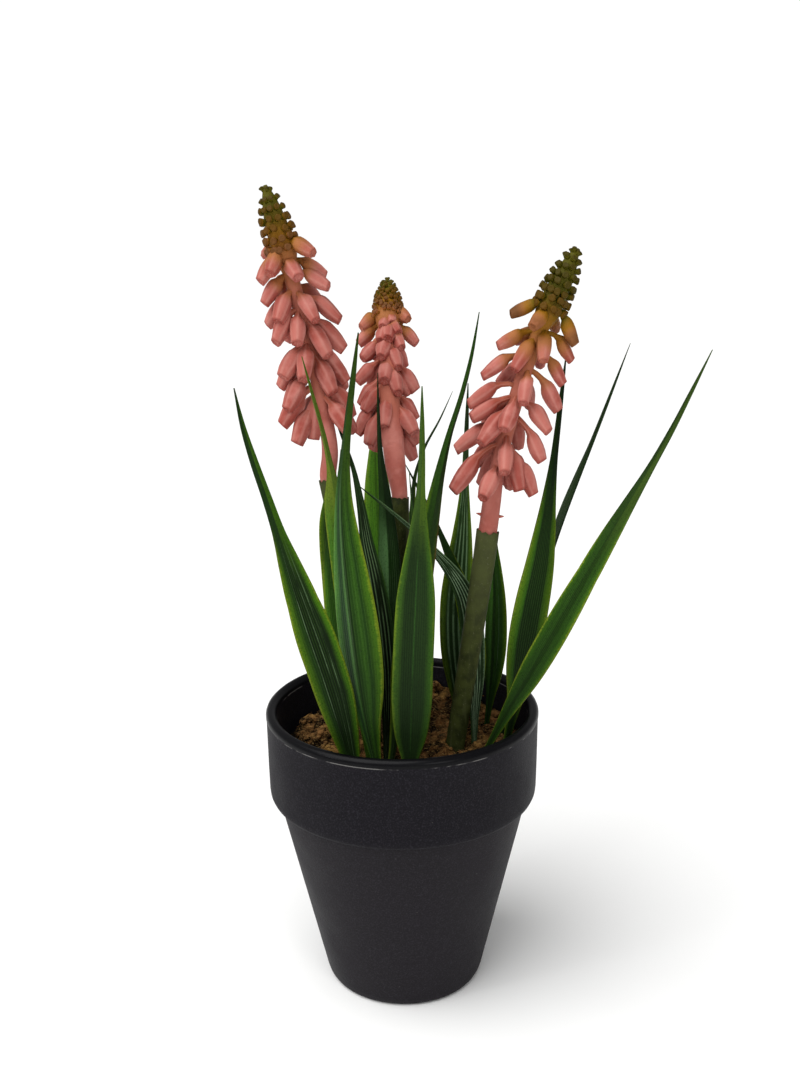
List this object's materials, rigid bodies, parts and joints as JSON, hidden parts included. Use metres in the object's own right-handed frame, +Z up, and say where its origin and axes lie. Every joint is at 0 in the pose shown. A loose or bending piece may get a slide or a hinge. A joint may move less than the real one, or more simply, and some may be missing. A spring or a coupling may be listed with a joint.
{
  "type": "potted grape hyacinth",
  "caption": "Artificial grape hyacinths: pink flower spikes plugged into bare stems among long strap leaves, planted in the soil of a tapered plastic pot with a deep collar.",
  "frame": {"origin": "centre of the pot's flat underside", "axes": "+Z up along the pot's axis, -Y towards the viewer, +X to the viewer's right"},
  "size_m": [0.131, 0.1032, 0.2488],
  "materials": {
    "pot_plastic": "matte moulded, with a smoother lip",
    "coir_soil": "rough fibrous crumbs",
    "stem_plastic": "matte, slightly dusty",
    "petal_plastic": "satin, olive at the tip",
    "leaf_plastic": "satin, ribbed, with lime edges"
  },
  "bodies": {
    "root": {"pot": "pot_plastic", "soil": "coir_soil", "stem_left": "stem_plastic", "stem_middle": "stem_plastic", "stem_right": "stem_plastic", "flower_spike_left": "petal_plastic", "flower_spike_middle": "petal_plastic", "flower_spike_right": "petal_plastic", "leaf_far_left": "leaf_plastic", "leaf_left_slim": "leaf_plastic", "leaf_front_left": "leaf_plastic", "leaf_left_inner": "leaf_plastic", "leaf_back_left": "leaf_plastic", "leaf_ribbed_left": "leaf_plastic", "leaf_centre_slim": "leaf_plastic", "leaf_back_centre": "leaf_plastic", "leaf_front_centre": "leaf_plastic", "leaf_centre_right": "leaf_plastic", "leaf_back_slim": "leaf_plastic", "leaf_back_upright": "leaf_plastic", "leaf_cross_back": "leaf_plastic", "leaf_cross_front": "leaf_plastic", "leaf_back_right": "leaf_plastic", "leaf_right_inner": "leaf_plastic", "leaf_right_tall": "leaf_plastic", "leaf_far_right": "leaf_plastic", "leaf_right_slim": "leaf_plastic"}
  },
  "joints": []
}
